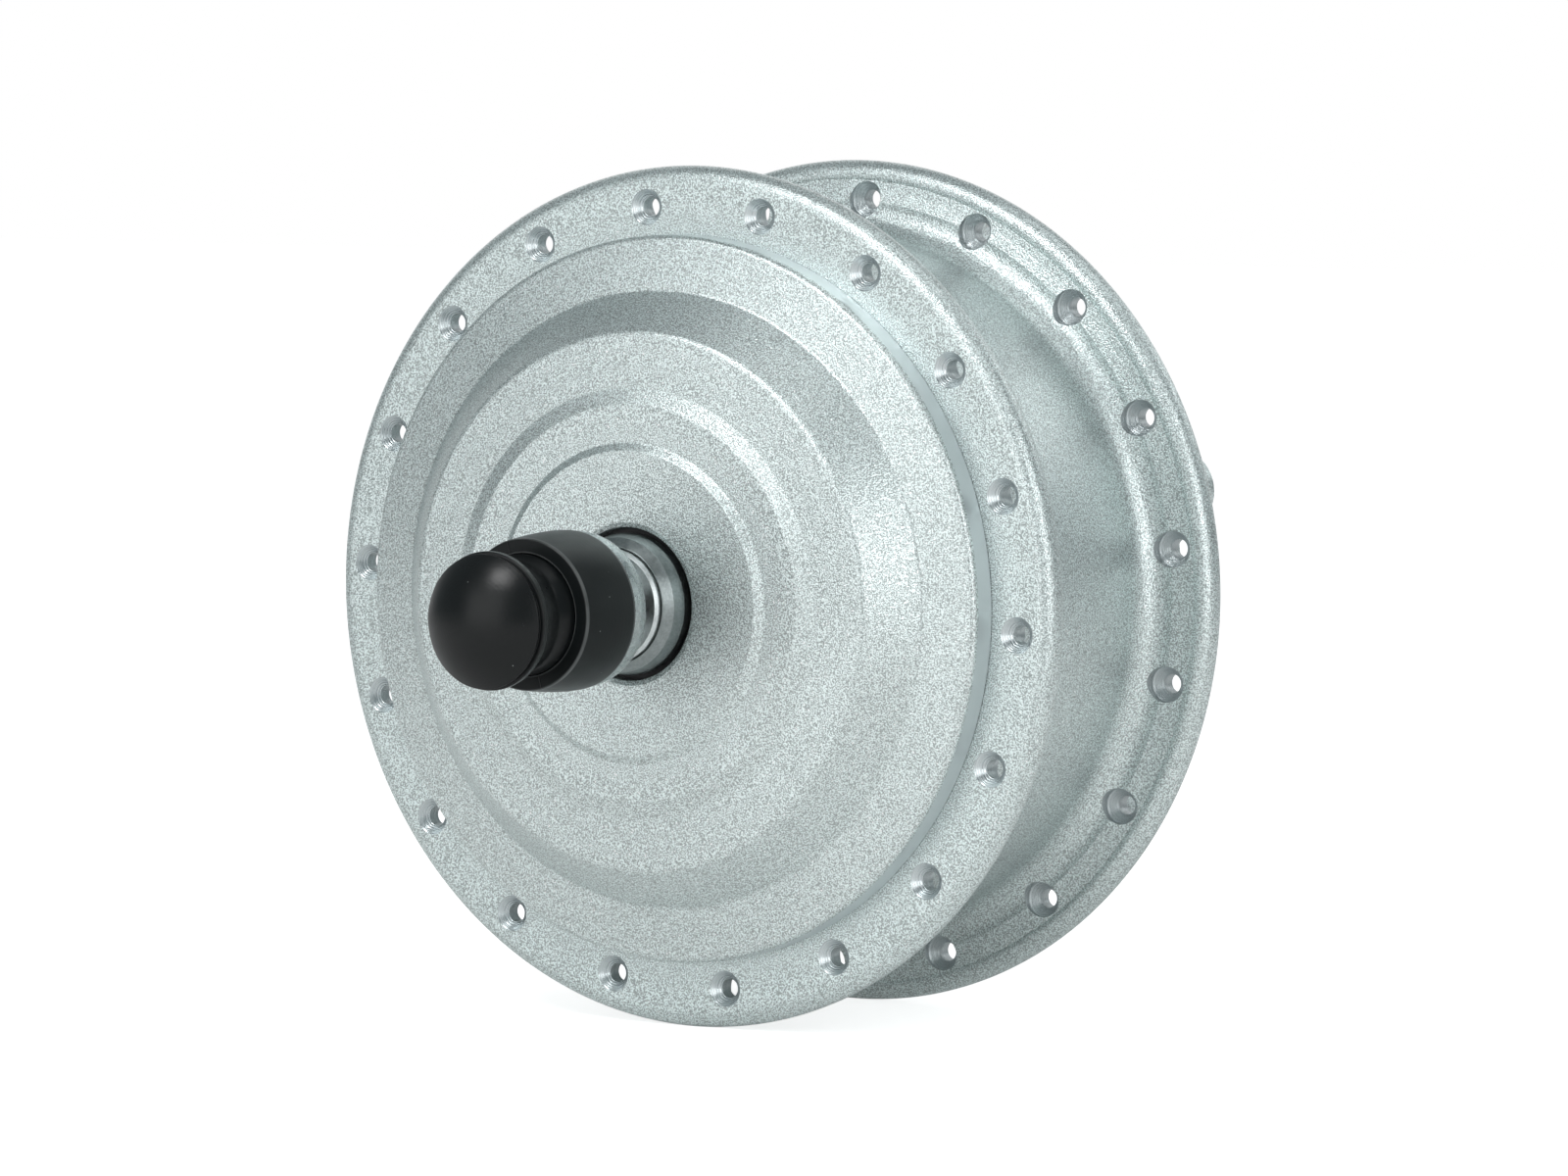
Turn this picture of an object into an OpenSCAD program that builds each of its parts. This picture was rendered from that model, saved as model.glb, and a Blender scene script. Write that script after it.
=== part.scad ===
// Front geared hub motor for a spoked wheel, with a six-bolt disc-brake face.
// The axle lies along Y. The plain cover is at -Y, the brake cover and the cable bore at +Y.

/* [Hub shell] */
// Width of the shell over both flange faces
hub_w = 52; // [48:0.5:58]
// Diameter of the spoke flanges
flange_d = 135.2; // [133:0.2:142]
// Thickness of the rounded rim bead of a flange
rim_t = 5.2; // [4:0.1:5.4]
// Thickness of a flange at the foot of its fillet
flange_t = 6.2; // [5.8:0.1:6.6]
// Thickness of a flange just inside its rim
groove_t = 5.2; // [4.8:0.1:5.3]
// Height of the flanges above the barrel between them
flange_h = 11.2; // [10.8:0.1:12]
// Wall of the barrel round the ring gear
barrel_wall = 7.4; // [6.6:0.1:8]
// Radius of the fillet between flange and barrel
root_r = 4.8; // [3.6:0.1:5.4]

/* [Spoke holes] */
// Number of spoke holes in one flange
spoke_n = 18; // [12,18,24]
// Distance from the circle of spoke holes to the edge of the flange
spoke_inset = 6.1; // [5.8:0.1:6.6]
// Diameter of a spoke hole
spoke_hole_d = 3; // [2.4:0.1:3.4]
// Diameter of the countersink of a spoke hole
spoke_sink_d = 6; // [4.5:0.1:6.4]
// Angle of the first hole of the plain side, from the top
spoke_start = -6.9; // [-10:0.1:10]

/* [Plain cover] */
// Distance from the rims of both covers to the circle of spoke holes
cover_inset = 4.6; // [4.4:0.1:6]
// Height of the rim above the flange
cover_rim_h = 4.9; // [4:0.1:6]
// Diameter of the foot of the cone
foot_d = 96.6; // [94:0.2:99]
// Height of the foot of the cone above the flange
foot_h = 6.4; // [6:0.1:7.4]
// Diameter of the top of the cone
cone_d = 84; // [80:0.2:88]
// Height of the top of the cone above the flange
cone_h = 13.4; // [12:0.1:13.7]
// Outer diameter of the first step
step1_d = 67; // [64:0.2:72]
// Outer diameter of the second step
step2_d = 50; // [46:0.2:54]
// Height of the hub face above the flange
face_h = 16; // [15.4:0.1:18]
// Wall of both covers
cover_wall = 3.6; // [3:0.1:4.2]
// Depth of the threaded spigot in the shell
spigot_h = 4; // [3:0.1:4.4]

/* [Brake cover] */
// Height of the cover's rim above the flange
brake_rim_h = 5; // [4:0.1:6]
// Number of screw ears, a third of the spoke holes
ear_n = 6; // [3,6]
// Distance from the barrel's outside to the circle of the ears
ear_inset = 3.4; // [2.8:0.1:4]
// Diameter of a screw ear
ear_d = 12.8; // [11:0.1:13.2]
// Height of the ears above the flange
ear_h = 14; // [12:0.5:15]
// Diameter of the brake disc's seat
brake_seat_d = 56; // [53:0.5:60]
// Diameter of the circle of brake bolts
brake_pcd = 44; // [42:0.5:46]
// Diameter of a brake bolt hole
brake_hole_d = 5; // [4:0.1:5.4]
// Depth of a brake bolt hole
brake_hole_h = 9; // [7:0.5:9.5]
// Number of brake bolts
brake_n = 6; // [3:1:6]
// Diameter of the pilot that centres the brake disc
pilot_d = 34.8; // [33:0.1:35.4]
// Height of the pilot
pilot_h = 2; // [1:0.1:2.4]
// Distance from the brake seat to the right fork seat
brake_offset = 10.5; // [9.5:0.1:12]

/* [Cover screws] */
// Diameter of a cover screw
screw_d = 4; // [3:0.5:4]
// Diameter of a screw head
screw_head_d = 7; // [6:0.1:7.4]
// Height of a screw head
screw_head_h = 4; // [3:0.1:4.4]
// Depth of a screw in the shell
screw_grip = 6; // [4:0.1:6.4]
// Thickness of the gasket under the brake cover
gasket_t = 0.5; // [0.3:0.1:0.8]

/* [Axle] */
// Distance between the two fork seats
fork_w = 100; // [98:0.5:110]
// How far the middle of the fork lies to the brake side
fork_shift = 3.4; // [2:0.1:5]
// Diameter of the threaded axle
axle_d = 12; // [11:0.1:12]
// Width over the flats of the axle
axle_flat = 10; // [9:0.1:10.6]
// Diameter of the axle under the stator
axle_core_d = 16; // [15.4:0.1:17]
// Diameter of the cable bore
cable_bore_d = 7; // [5:0.1:7.4]
// Length of the axle outside the right fork seat
axle_out = 29.6; // [25:0.1:36]
// Diameter of the two collars
collar_d = 21; // [20:0.1:21.4]
// Diameter of the hole round each collar
collar_hole_d = 23.8; // [22.4:0.1:24.2]
// Width of the bevel round each hole
hole_bevel = 0.7; // [0.3:0.1:1.5]
// Diameter of the inner axle washers
inner_washer_d = 17.8; // [17:0.1:20]
// Thickness of the inner axle washers
inner_washer_t = 2.3; // [1.6:0.1:3]
// Gap for the fork end
fork_gap = 7; // [5:0.1:10]
// Diameter of the outer axle washers
outer_washer_d = 23.8; // [22:0.1:24]
// Thickness of the outer axle washers
outer_washer_t = 3.6; // [1:0.1:4]
// Width over the flats of the axle nuts
nut_af = 18; // [17:0.1:18.2]
// Height of the axle nuts
nut_h = 10; // [8:0.5:11]

/* [Nut cap and plug] */
// Diameter of the nut cap at its back edge
cap_d = 24.6; // [23.8:0.1:26]
// Diameter of the nut cap at its front edge
cap_front_d = 23.4; // [23.2:0.1:25]
// Wall of the nut cap's front
cap_wall = 1.7; // [1.2:0.1:2.4]
// Diameter of the plug's neck
neck_d = 18.7; // [17:0.1:19.4]
// Diameter of the plug's lip
lip_d = 21.6; // [20.6:0.1:23]
// Height of the plug's dome
dome_h = 4.7; // [3:0.1:6]
// Height of the plug's lip
lip_t = 0.9; // [0.6:0.1:1.4]
// Free length of the plug's neck
neck_h = 8.1; // [7:0.1:10]

/* [Gears] */
// Wall of the ring gear behind its teeth
ring_wall = 5.75; // [5:0.25:7]
// Teeth of the sun gear
sun_teeth = 18; // [18,21]
// Teeth of a planet gear
planet_teeth = 33; // [30,33]
// Width of the planet gears
planet_w = 12; // [10:0.5:12.4]
// Free play between meshing teeth
gear_play = 0.16; // [0.12:0.01:0.2]
// Diameter of a planet pin
pin_d = 6; // [5:0.1:7]
// Wall of a planet bush
bush_wall = 1.5; // [1:0.1:2]

/* [Motor] */
// Gap between the rotor can and the shell
rotor_gap = 2; // [1.4:0.1:4]
// Wall of the rotor can
rotor_wall = 2.8; // [2.4:0.1:3.2]
// Thickness of the magnets
magnet_t = 2.6; // [2:0.1:3]
// Number of magnets
magnet_n = 20; // [16,20]
// Air gap between magnets and stator
air_gap = 0.7; // [0.5:0.1:1]
// Number of stator teeth
slot_n = 18; // [15,18]
// Length of the stator core
core_w = 22; // [18:0.5:22.4]
// Depth of the slots between the stator teeth
slot_h = 13.3; // [12:0.1:15]
// Wall of the stator core inside the slots
yoke_t = 3.6; // [3:0.1:5]

/* [Bearings] */
// Outer diameter of the two hub bearings
bearing_d = 28; // [27:0.1:29]
// Width of the plain side's bearing
left_bearing_w = 8; // [7:0.1:8.4]
// Width of the brake side's bearing
right_bearing_w = 7; // [6:0.1:7.6]
// Height of the brake side's bearing between its seat and its rim
bearing_section = 6.5; // [6:0.1:7]
// Wall round each hub bearing
bearing_wall = 3.6; // [3:0.1:5]
// Outer diameter of the rotor bearing
rotor_bearing_d = 24; // [23:0.1:25]
// Width of the rotor bearing
rotor_bearing_w = 6; // [5:0.1:6]
// Thickness of the seals
seal_t = 2; // [1.4:0.1:2.6]

/* [Hidden] */

// Named clearances
seat_gap = 0.02;
run_gap = 0.06;
clear_gap = 0.35;
cut = 1;

// Radii of the shell
rim_r = rim_t / 2;
flange_r = flange_d / 2;
barrel_r = flange_r - flange_h;
gear_bore_r = barrel_r - barrel_wall;
shoulder = 1;
motor_bore_r = gear_bore_r - shoulder;
rotor_r = motor_bore_r - rotor_gap;
bead_gap = 0.2;
spoke_r = flange_r - spoke_inset;
cover_r = spoke_r - cover_inset;
ear_circle_r = barrel_r - ear_inset;
spoke_step = 360 / spoke_n;

// Places along the axle on the plain side
left_face = -hub_w / 2;
left_front = left_face - face_h;
left_hole_y = left_front + 0.1;
lip_h = 2.1;
left_seal_y = left_hole_y + lip_h;
left_bearing_y = left_seal_y + seal_t;
left_bearing_end = left_bearing_y + left_bearing_w;
left_seat = fork_shift - fork_w / 2;
right_seat = left_seat + fork_w;

// Places along the axle on the brake side
right_seat_r = bearing_d / 2 - bearing_section;
right_face = hub_w / 2;
brake_seat_y = right_seat - brake_offset;
pilot_y = brake_seat_y + pilot_h;
right_lip_h = 4.7;
right_seal_y = pilot_y - right_lip_h;
right_bearing_end = right_seal_y;
right_bearing_y = right_bearing_end - right_bearing_w;
right_cover_y = right_face + gasket_t;
ear_y = right_face + ear_h;
ear_start = spoke_start + spoke_step;

// Places of the gears and the motor
gear_y = left_face + spigot_h + 0.4;
gear_end = gear_y + planet_w;
carrier_gap = 0.8;
carrier_end = gear_y - carrier_gap;
carrier_y = left_bearing_end + carrier_gap;
pin_end = gear_end + 1.4;
rotor_hub_y = gear_end + 1.2;
rotor_bearing_y = rotor_hub_y + 0.4;
rotor_hub_end = rotor_bearing_y + rotor_bearing_w + 0.4;
plate_t = 3;
plate_y = rotor_hub_end - plate_t - 1.6;
core_y = rotor_hub_end + 3.4;
core_end = core_y + core_w;
board_t = 1.6;
board_y = core_end + 3;
axle_core_y = rotor_hub_end + 0.4;

// Radii of the stator
stator_r = rotor_r - rotor_wall - magnet_t - air_gap;
yoke_r = stator_r - slot_h;
core_bore_r = yoke_r - yoke_t;
insulator_t = 0.8;

// Radii of the one-way clutch
clutch_in_r = axle_d / 2 + 3;
clutch_out_r = clutch_in_r + 3;

// Gear sizes
ring_teeth = sun_teeth + 2 * planet_teeth;
gear_m = (gear_bore_r - ring_wall) / (ring_teeth / 2 + 1.25);
orbit_r = gear_m * (sun_teeth + planet_teeth) / 2;
pressure = 20;
planet_n = 3;
planet_step = 360 / planet_n;
planet_bore_r = pin_d / 2 + run_gap + bush_wall;

// Plug and cap places
cap_y = left_seat - fork_gap - outer_washer_t;
cap_end = cap_y - nut_h - 0.4 - cap_wall;
neck_y = cap_end - neck_h;
dome_y = neck_y - lip_t;
plug_top = dome_y - dome_h;
axle_left = neck_y + 1;
axle_right = right_seat + axle_out;

// Ball bearing proportions
ball_n = 8;
groove_gap = 0.04;

module lathe(fn = 128) {
    rotate([-90, 0, 0])
        rotate_extrude($fn = fn)
            children();
}

module at(angle) {
    rotate([-90, 0, 0])
        rotate([0, 0, angle - 90])
            children();
}

module band(r1, r2, y1, y2) {
    translate([r1, y1])
        square([r2 - r1, y2 - y1]);
}

module hole(r, y1, y2, fn = 32) {
    translate([0, 0, y1])
        cylinder(h = y2 - y1, r = r, $fn = fn);
}

// One flange, measured inwards from its outer face at y = 0
module flange_half() {
    rim_x = flange_r - rim_r;
    root_x = barrel_r + root_r;
    groove_x = rim_x - 0.5;
    difference() {
        union() {
            polygon([
                [barrel_r - cut, 0], [rim_x, bead_gap], [rim_x, bead_gap + rim_t],
                [groove_x, groove_t], [root_x, flange_t], [root_x, flange_t + root_r],
                [barrel_r - cut, flange_t + root_r]
            ]);
            translate([rim_x, bead_gap + rim_r])
                circle(r = rim_r, $fn = 48);
        }
        translate([root_x, flange_t + root_r])
            circle(r = root_r, $fn = 64);
    }
}

module spoke_holes(start, outer_y, side) {
    sink_r = spoke_sink_d / 2;
    hole_r = spoke_hole_d / 2;
    sink_t = (flange_t + groove_t) / 2;
    for (i = [0 : spoke_n - 1])
        at(start + i * spoke_step)
            translate([spoke_r, 0, outer_y])
                mirror([0, 0, side < 0 ? 0 : 1]) {
                    hole(hole_r, -cut, flange_t + cut, 48);
                    cylinder(h = sink_r - hole_r, r1 = sink_r, r2 = hole_r, $fn = 48);
                    hole(sink_r, -cut, 0, 48);
                    translate([0, 0, sink_t - sink_r + hole_r])
                        cylinder(h = sink_r - hole_r, r1 = hole_r, r2 = sink_r, $fn = 48);
                    hole(sink_r, sink_t, flange_t + 2 * cut, 48);
                }
}

module hub_shell() {
    color("#c3c9c9")
        difference() {
            lathe(192)
                difference() {
                    union() {
                        band(motor_bore_r, barrel_r, left_face, right_face);
                        translate([0, left_face])
                            flange_half();
                        translate([0, right_face])
                            mirror([0, 1])
                                flange_half();
                    }
                    band(0, gear_bore_r, left_face - cut, gear_end);
                }
            spoke_holes(spoke_start, left_face, -1);
            spoke_holes(spoke_start + spoke_step / 2, right_face, 1);
            for (i = [0 : ear_n - 1])
                at(ear_start + i * 360 / ear_n)
                    translate([ear_circle_r, 0, 0])
                        hole(screw_d / 2 + seat_gap, right_face - screw_grip - 0.5, right_face + cut);
        }
}

// Plain cover, a turned dish that screws into the shell
module left_cover() {
    edge_r = 1.2;
    foot_r = foot_d / 2;
    cone_r = cone_d / 2;
    step1_r = step1_d / 2;
    step2_r = step2_d / 2;
    inner_r = gear_bore_r - 3.4;
    boss_r = bearing_d / 2 + bearing_wall;
    color("#c6cccc")
        lathe(192)
            difference() {
                union() {
                    polygon([
                        [collar_hole_d / 2 + hole_bevel, left_hole_y], [step2_r - 1.2, left_front],
                        [step2_r, left_front + 1], [step1_r - 2.6, left_front + 1.1],
                        [step1_r, left_front + 2], [cone_r, left_face - cone_h],
                        [foot_r, left_face - foot_h], [cover_r - edge_r, left_face - cover_rim_h],
                        [cover_r - edge_r, left_face], [gear_bore_r - seat_gap, left_face],
                        [gear_bore_r - seat_gap, left_face + spigot_h],
                        [inner_r, left_face + spigot_h], [inner_r, left_face - foot_h + cover_wall],
                        [cone_r - 2, left_face - cone_h + cover_wall],
                        [boss_r + 0.6, left_front + 1.1 + cover_wall], [boss_r, left_bearing_end],
                        [collar_hole_d / 2, left_bearing_end], [collar_hole_d / 2, left_hole_y + hole_bevel]
                    ]);
                    band(cover_r - edge_r - cut, cover_r, left_face - cover_rim_h + edge_r, left_face);
                    translate([cover_r - edge_r, left_face - cover_rim_h + edge_r])
                        circle(r = edge_r, $fn = 32);
                }
                band(0, bearing_d / 2 + seat_gap, left_seal_y, left_bearing_end + cut);
            }
}

// Brake cover with its screw ears, bearing boss and brake disc face
module right_cover() {
    rim_y = right_face + brake_rim_h;
    seat_r = brake_seat_d / 2;
    boss_r = bearing_d / 2 + bearing_wall;
    inner_r = motor_bore_r - seat_gap;
    dish_r = rotor_r + 0.8;
    foot_r2 = ear_circle_r - ear_d / 2 - 0.8;
    ear_lift = 1;
    floor_y = brake_seat_y - brake_hole_h - 1.6;
    bolt_r = brake_pcd / 2 + brake_hole_d / 2 + 2;
    pocket_y = brake_seat_y - 3 - cover_wall;
    color("#c3c9c9")
        difference() {
            union() {
                lathe(192)
                    difference() {
                        polygon([
                            [collar_hole_d / 2, floor_y], [bolt_r, floor_y], [bolt_r, pocket_y],
                            [seat_r + 1.6, pocket_y], [dish_r - 1.6, right_face + 1.6],
                            [dish_r, right_face + 1], [dish_r, right_face - 1.6],
                            [inner_r, right_face - 1.6], [inner_r, right_cover_y],
                            [cover_r, right_cover_y], [cover_r, rim_y - 1.2], [cover_r - 1.2, rim_y],
                            [foot_r2, rim_y], [seat_r + 3, brake_seat_y - 3],
                            [seat_r, brake_seat_y - 3], [seat_r, brake_seat_y - 0.5],
                            [seat_r - 0.5, brake_seat_y], [pilot_d / 2, brake_seat_y],
                            [pilot_d / 2, pilot_y - 0.4], [pilot_d / 2 - 0.4, pilot_y],
                            [collar_hole_d / 2 + hole_bevel, pilot_y], [collar_hole_d / 2, pilot_y - hole_bevel]
                        ]);
                        band(0, bearing_d / 2 + seat_gap, floor_y - cut, right_seal_y + seal_t);
                    }
                for (i = [0 : ear_n - 1])
                    at(ear_start + i * 360 / ear_n)
                        translate([ear_circle_r, 0, 0]) {
                            hole(ear_d / 2, right_cover_y + ear_lift, ear_y - 0.8, 64);
                            translate([0, 0, ear_y - 0.8])
                                cylinder(h = 0.8, r1 = ear_d / 2, r2 = ear_d / 2 - 0.8, $fn = 64);
                        }
            }
            for (i = [0 : ear_n - 1])
                at(ear_start + i * 360 / ear_n)
                    translate([ear_circle_r, 0, 0]) {
                        hole(screw_d / 2 + 0.2, right_cover_y - cut, ear_y + cut);
                        hole(screw_head_d / 2 + 0.4, ear_y - screw_head_h - 0.6, ear_y + cut);
                    }
            for (i = [0 : brake_n - 1])
                at(ear_start + (i + 0.5) * 360 / brake_n)
                    translate([brake_pcd / 2, 0, 0])
                        hole(brake_hole_d / 2, brake_seat_y - brake_hole_h, brake_seat_y + cut);
        }
}

module cover_gasket() {
    color("#4a4d4c")
        difference() {
            lathe(96)
                band(motor_bore_r + 0.3, cover_r - 0.5, right_face, right_cover_y);
            for (i = [0 : ear_n - 1])
                at(ear_start + i * 360 / ear_n)
                    translate([ear_circle_r, 0, 0])
                        hole(screw_d / 2 + 0.2, right_face - cut, right_cover_y + cut);
        }
}

// Socket-head screws that hold the brake cover
module cover_screws() {
    head_y = ear_y - screw_head_h - 0.6;
    color("#8d9293")
        for (i = [0 : ear_n - 1])
            at(ear_start + i * 360 / ear_n)
                translate([ear_circle_r, 0, 0])
                    difference() {
                        union() {
                            hole(screw_d / 2, right_face - screw_grip, head_y + cut);
                            hole(screw_head_d / 2, head_y, head_y + screw_head_h, 48);
                        }
                        hole(screw_d * 0.43, head_y + screw_head_h / 2, ear_y, 6);
                    }
}

// Angle, in degrees, that an involute has turned at radius r
function turned(base_r, r) = r <= base_r ? 0 : let (a = acos(base_r / r)) tan(a) * 180 / PI - a;

// Outline of a wheel with teeth, one tooth centred on angle 0
module teeth(n, tip_r, root_r, play) {
    pitch_r = gear_m * n / 2;
    base_r = pitch_r * cos(pressure);
    half = 90 / n - play / 2 / pitch_r * 180 / PI + turned(base_r, pitch_r);
    low_r = max(base_r, root_r);
    radii = [root_r, low_r + 0.1, (low_r + tip_r) / 2, tip_r];
    flank = [for (r = radii) [r, half - turned(base_r, r)]];
    polygon([
        for (i = [0 : n - 1])
            for (side = [-1, 1])
                for (k = [0 : len(flank) - 1])
                    let (p = flank[side < 0 ? k : len(flank) - 1 - k], a = i * 360 / n + side * p[1])
                        [p[0] * cos(a), p[0] * sin(a)]
    ]);
}

module ring_gear() {
    ring_r = gear_m * ring_teeth / 2;
    color("#6d7274")
        at(0)
            translate([0, 0, gear_y - 0.35])
                difference() {
                    hole(gear_bore_r - seat_gap, 0, planet_w + 0.35, 128);
                    translate([0, 0, -cut])
                        linear_extrude(planet_w + 0.35 + 2 * cut)
                            teeth(ring_teeth, ring_r + 1.25 * gear_m, ring_r - 0.85 * gear_m,
                                -gear_play / 2);
                }
}

module planet_gear(k) {
    planet_r = gear_m * planet_teeth / 2;
    color("#ded8c4")
        at(k * planet_step)
            translate([orbit_r, 0, gear_y])
                difference() {
                    linear_extrude(planet_w)
                        teeth(planet_teeth, planet_r + gear_m, planet_r - 1.25 * gear_m, gear_play / 2);
                    hole(planet_bore_r + seat_gap, -cut, planet_w + cut, 48);
                }
}

module planet_bush(k) {
    color("#b08a4a")
        at(k * planet_step)
            translate([orbit_r, 0, gear_y])
                difference() {
                    hole(planet_bore_r, 0, planet_w, 48);
                    hole(pin_d / 2 + run_gap, -cut, planet_w + cut, 48);
                }
}

module sun_gear() {
    sun_r = gear_m * sun_teeth / 2;
    sun_root = sun_r - 1.25 * gear_m;
    color("#5c6062")
        at(0)
            difference() {
                union() {
                    translate([0, 0, gear_y - 0.3])
                        linear_extrude(planet_w + 0.6)
                            rotate([0, 0, planet_teeth % 2 == 0 ? 180 / sun_teeth : 0])
                                teeth(sun_teeth, sun_r + gear_m, sun_root, gear_play / 2);
                    hole(sun_root, gear_end, rotor_bearing_y, 48);
                }
                hole(axle_d / 2 + clear_gap, gear_y - cut, rotor_bearing_y + cut, 48);
            }
}

// Carrier plate with its clutch bore and pin holes
module planet_carrier() {
    pin_wall = 4;
    window_r = 6;
    rim = orbit_r + pin_d / 2 + pin_wall;
    color("#9aa0a2")
        difference() {
            lathe(96)
                band(clutch_out_r, rim, carrier_y, carrier_end);
            for (k = [0 : planet_n - 1]) {
                at(k * planet_step)
                    translate([orbit_r, 0, 0])
                        hole(pin_d / 2 + seat_gap, carrier_y - cut, carrier_end + cut, 48);
                at((k + 0.5) * planet_step)
                    translate([orbit_r - 1, 0, 0])
                        hole(window_r, carrier_y - cut, carrier_end + cut, 48);
            }
        }
}

module clutch_race() {
    color("#7d8284")
        difference() {
            lathe(64)
                band(axle_d / 2 + seat_gap, clutch_in_r - seat_gap, left_bearing_end, carrier_end);
            key_block(seat_gap);
        }
}

module key_block(gap) {
    key_w = 3;
    key_h = 3.2;
    key_depth = 2;
    translate([-key_w / 2 - gap, carrier_y + 0.5 - gap, axle_d / 2 - key_depth])
        cube([key_w + 2 * gap, carrier_end - carrier_y - 1 + 2 * gap, key_h + gap]);
}

module axle_key() {
    color("#7d8284")
        key_block(0);
}

module clutch_rollers() {
    roller_r = 1.5 - seat_gap;
    color("#a4a9ab")
        for (i = [0 : 9])
            at(i * 36 + 18)
                translate([clutch_in_r + 1.5, 0, 0])
                    hole(roller_r, carrier_y + 0.3, carrier_end - 0.3, 24);
}

module planet_pins() {
    color("#8f9496")
        for (k = [0 : planet_n - 1])
            at(k * planet_step)
                translate([orbit_r, 0, 0])
                    hole(pin_d / 2, carrier_y, pin_end, 48);
}

module pin_clips() {
    color("#55595b")
        for (k = [0 : planet_n - 1])
            at(k * planet_step)
                translate([orbit_r, 0, 0])
                    difference() {
                        hole(pin_d / 2 + 1.6, gear_end + 0.25, gear_end + 1.05, 32);
                        hole(pin_d / 2 + seat_gap, gear_end, pin_end, 32);
                    }
}

// Shouldered axle with flats at both ends and a cable bore from the brake side
module axle() {
    outlet_y = core_end + 1.2;
    flat_x = axle_flat / 2;
    color("#b9bebf")
        difference() {
            lathe(64)
                polygon([
                    [0, axle_left], [axle_d / 2 - 1, axle_left], [axle_d / 2, axle_left + 1],
                    [axle_d / 2, axle_core_y], [axle_core_d / 2, axle_core_y],
                    [axle_core_d / 2, right_bearing_y], [right_seat_r, right_bearing_y],
                    [right_seat_r, right_bearing_end], [axle_d / 2, right_bearing_end],
                    [axle_d / 2, axle_right - 1], [axle_d / 2 - 1, axle_right], [0, axle_right]
                ]);
            for (side = [0, 1])
                mirror([side, 0, 0]) {
                    translate([flat_x, axle_left - cut, -axle_d])
                        cube([axle_d, left_seat + inner_washer_t - axle_left + cut, 2 * axle_d]);
                    translate([flat_x, right_seat - inner_washer_t, -axle_d])
                        cube([axle_d, axle_right - right_seat + inner_washer_t + cut, 2 * axle_d]);
                }
            at(0)
                hole(cable_bore_d / 2, core_y, axle_right + cut, 48);
            translate([0, outlet_y, 0])
                cylinder(h = axle_core_d, r = cable_bore_d / 2, $fn = 32);
            key_block(0);
        }
}

// Collars that stand between the bearings and the fork
module left_collar() {
    color("#c9cdcd")
        lathe(96)
            polygon([
                [axle_d / 2 + seat_gap, left_bearing_y], [axle_d / 2 + 2, left_bearing_y],
                [axle_d / 2 + 2, left_bearing_y - 0.6], [collar_d / 2, left_bearing_y - 0.6],
                [collar_d / 2, left_seat + inner_washer_t + 0.3],
                [collar_d / 2 - 0.3, left_seat + inner_washer_t],
                [axle_d / 2 + seat_gap, left_seat + inner_washer_t]
            ]);
}

module right_collar() {
    color("#c9cdcd")
        lathe(96)
            polygon([
                [axle_d / 2 + seat_gap, right_bearing_end], [right_seat_r + 1.5, right_bearing_end],
                [right_seat_r + 1.5, right_bearing_end + 0.6], [collar_d / 2, right_bearing_end + 0.6],
                [collar_d / 2, right_seat - inner_washer_t - 0.3],
                [collar_d / 2 - 0.3, right_seat - inner_washer_t],
                [axle_d / 2 + seat_gap, right_seat - inner_washer_t]
            ]);
}

module washer(d, t, y) {
    lathe(96)
        polygon([
            [axle_d / 2 + seat_gap, y], [d / 2 - 0.3, y], [d / 2, y + 0.3],
            [d / 2, y + t - 0.3], [d / 2 - 0.3, y + t], [axle_d / 2 + seat_gap, y + t]
        ]);
}

module left_inner_washer() {
    color("#b4b9ba")
        washer(inner_washer_d, inner_washer_t, left_seat);
}

module right_inner_washer() {
    color("#b4b9ba")
        washer(inner_washer_d, inner_washer_t, right_seat - inner_washer_t);
}

module left_outer_washer() {
    color("#cdd1d1")
        washer(outer_washer_d, outer_washer_t, left_seat - fork_gap - outer_washer_t);
}

module right_outer_washer() {
    color("#cdd1d1")
        washer(outer_washer_d, outer_washer_t, right_seat + fork_gap);
}

// Hexagon nut with chamfered corners
module axle_nut(y) {
    corner_r = nut_af / 2 / cos(30);
    at(0)
        difference() {
            intersection() {
                hole(corner_r, y, y + nut_h, 6);
                rotate_extrude($fn = 96)
                    polygon([
                        [0, y], [nut_af / 2, y], [corner_r + 0.1, y + 0.9],
                        [corner_r + 0.1, y + nut_h - 0.9], [nut_af / 2, y + nut_h], [0, y + nut_h]
                    ]);
            }
            hole(axle_d / 2 + seat_gap, y - cut, y + nut_h + cut, 48);
        }
}

module left_axle_nut() {
    color("#b4b9ba")
        axle_nut(cap_y - nut_h);
}

module right_axle_nut() {
    color("#b4b9ba")
        axle_nut(right_seat + fork_gap + outer_washer_t);
}

// Black plastic sleeve over the left nut
module nut_cap() {
    back_r = cap_d / 2;
    front_r = cap_front_d / 2;
    bore_r = nut_af / 2 / cos(30) + clear_gap;
    mid_y = (cap_y + cap_end) / 2;
    color("#1d2021")
        lathe(128)
            difference() {
                polygon([
                    [neck_d / 2 + run_gap, cap_end], [front_r - 0.5, cap_end],
                    [front_r, cap_end + 0.5], [back_r + 0.1, mid_y], [back_r, cap_y],
                    [neck_d / 2 + run_gap, cap_y]
                ]);
                band(0, bore_r, cap_end + cap_wall, cap_y + cut);
            }
}

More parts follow.
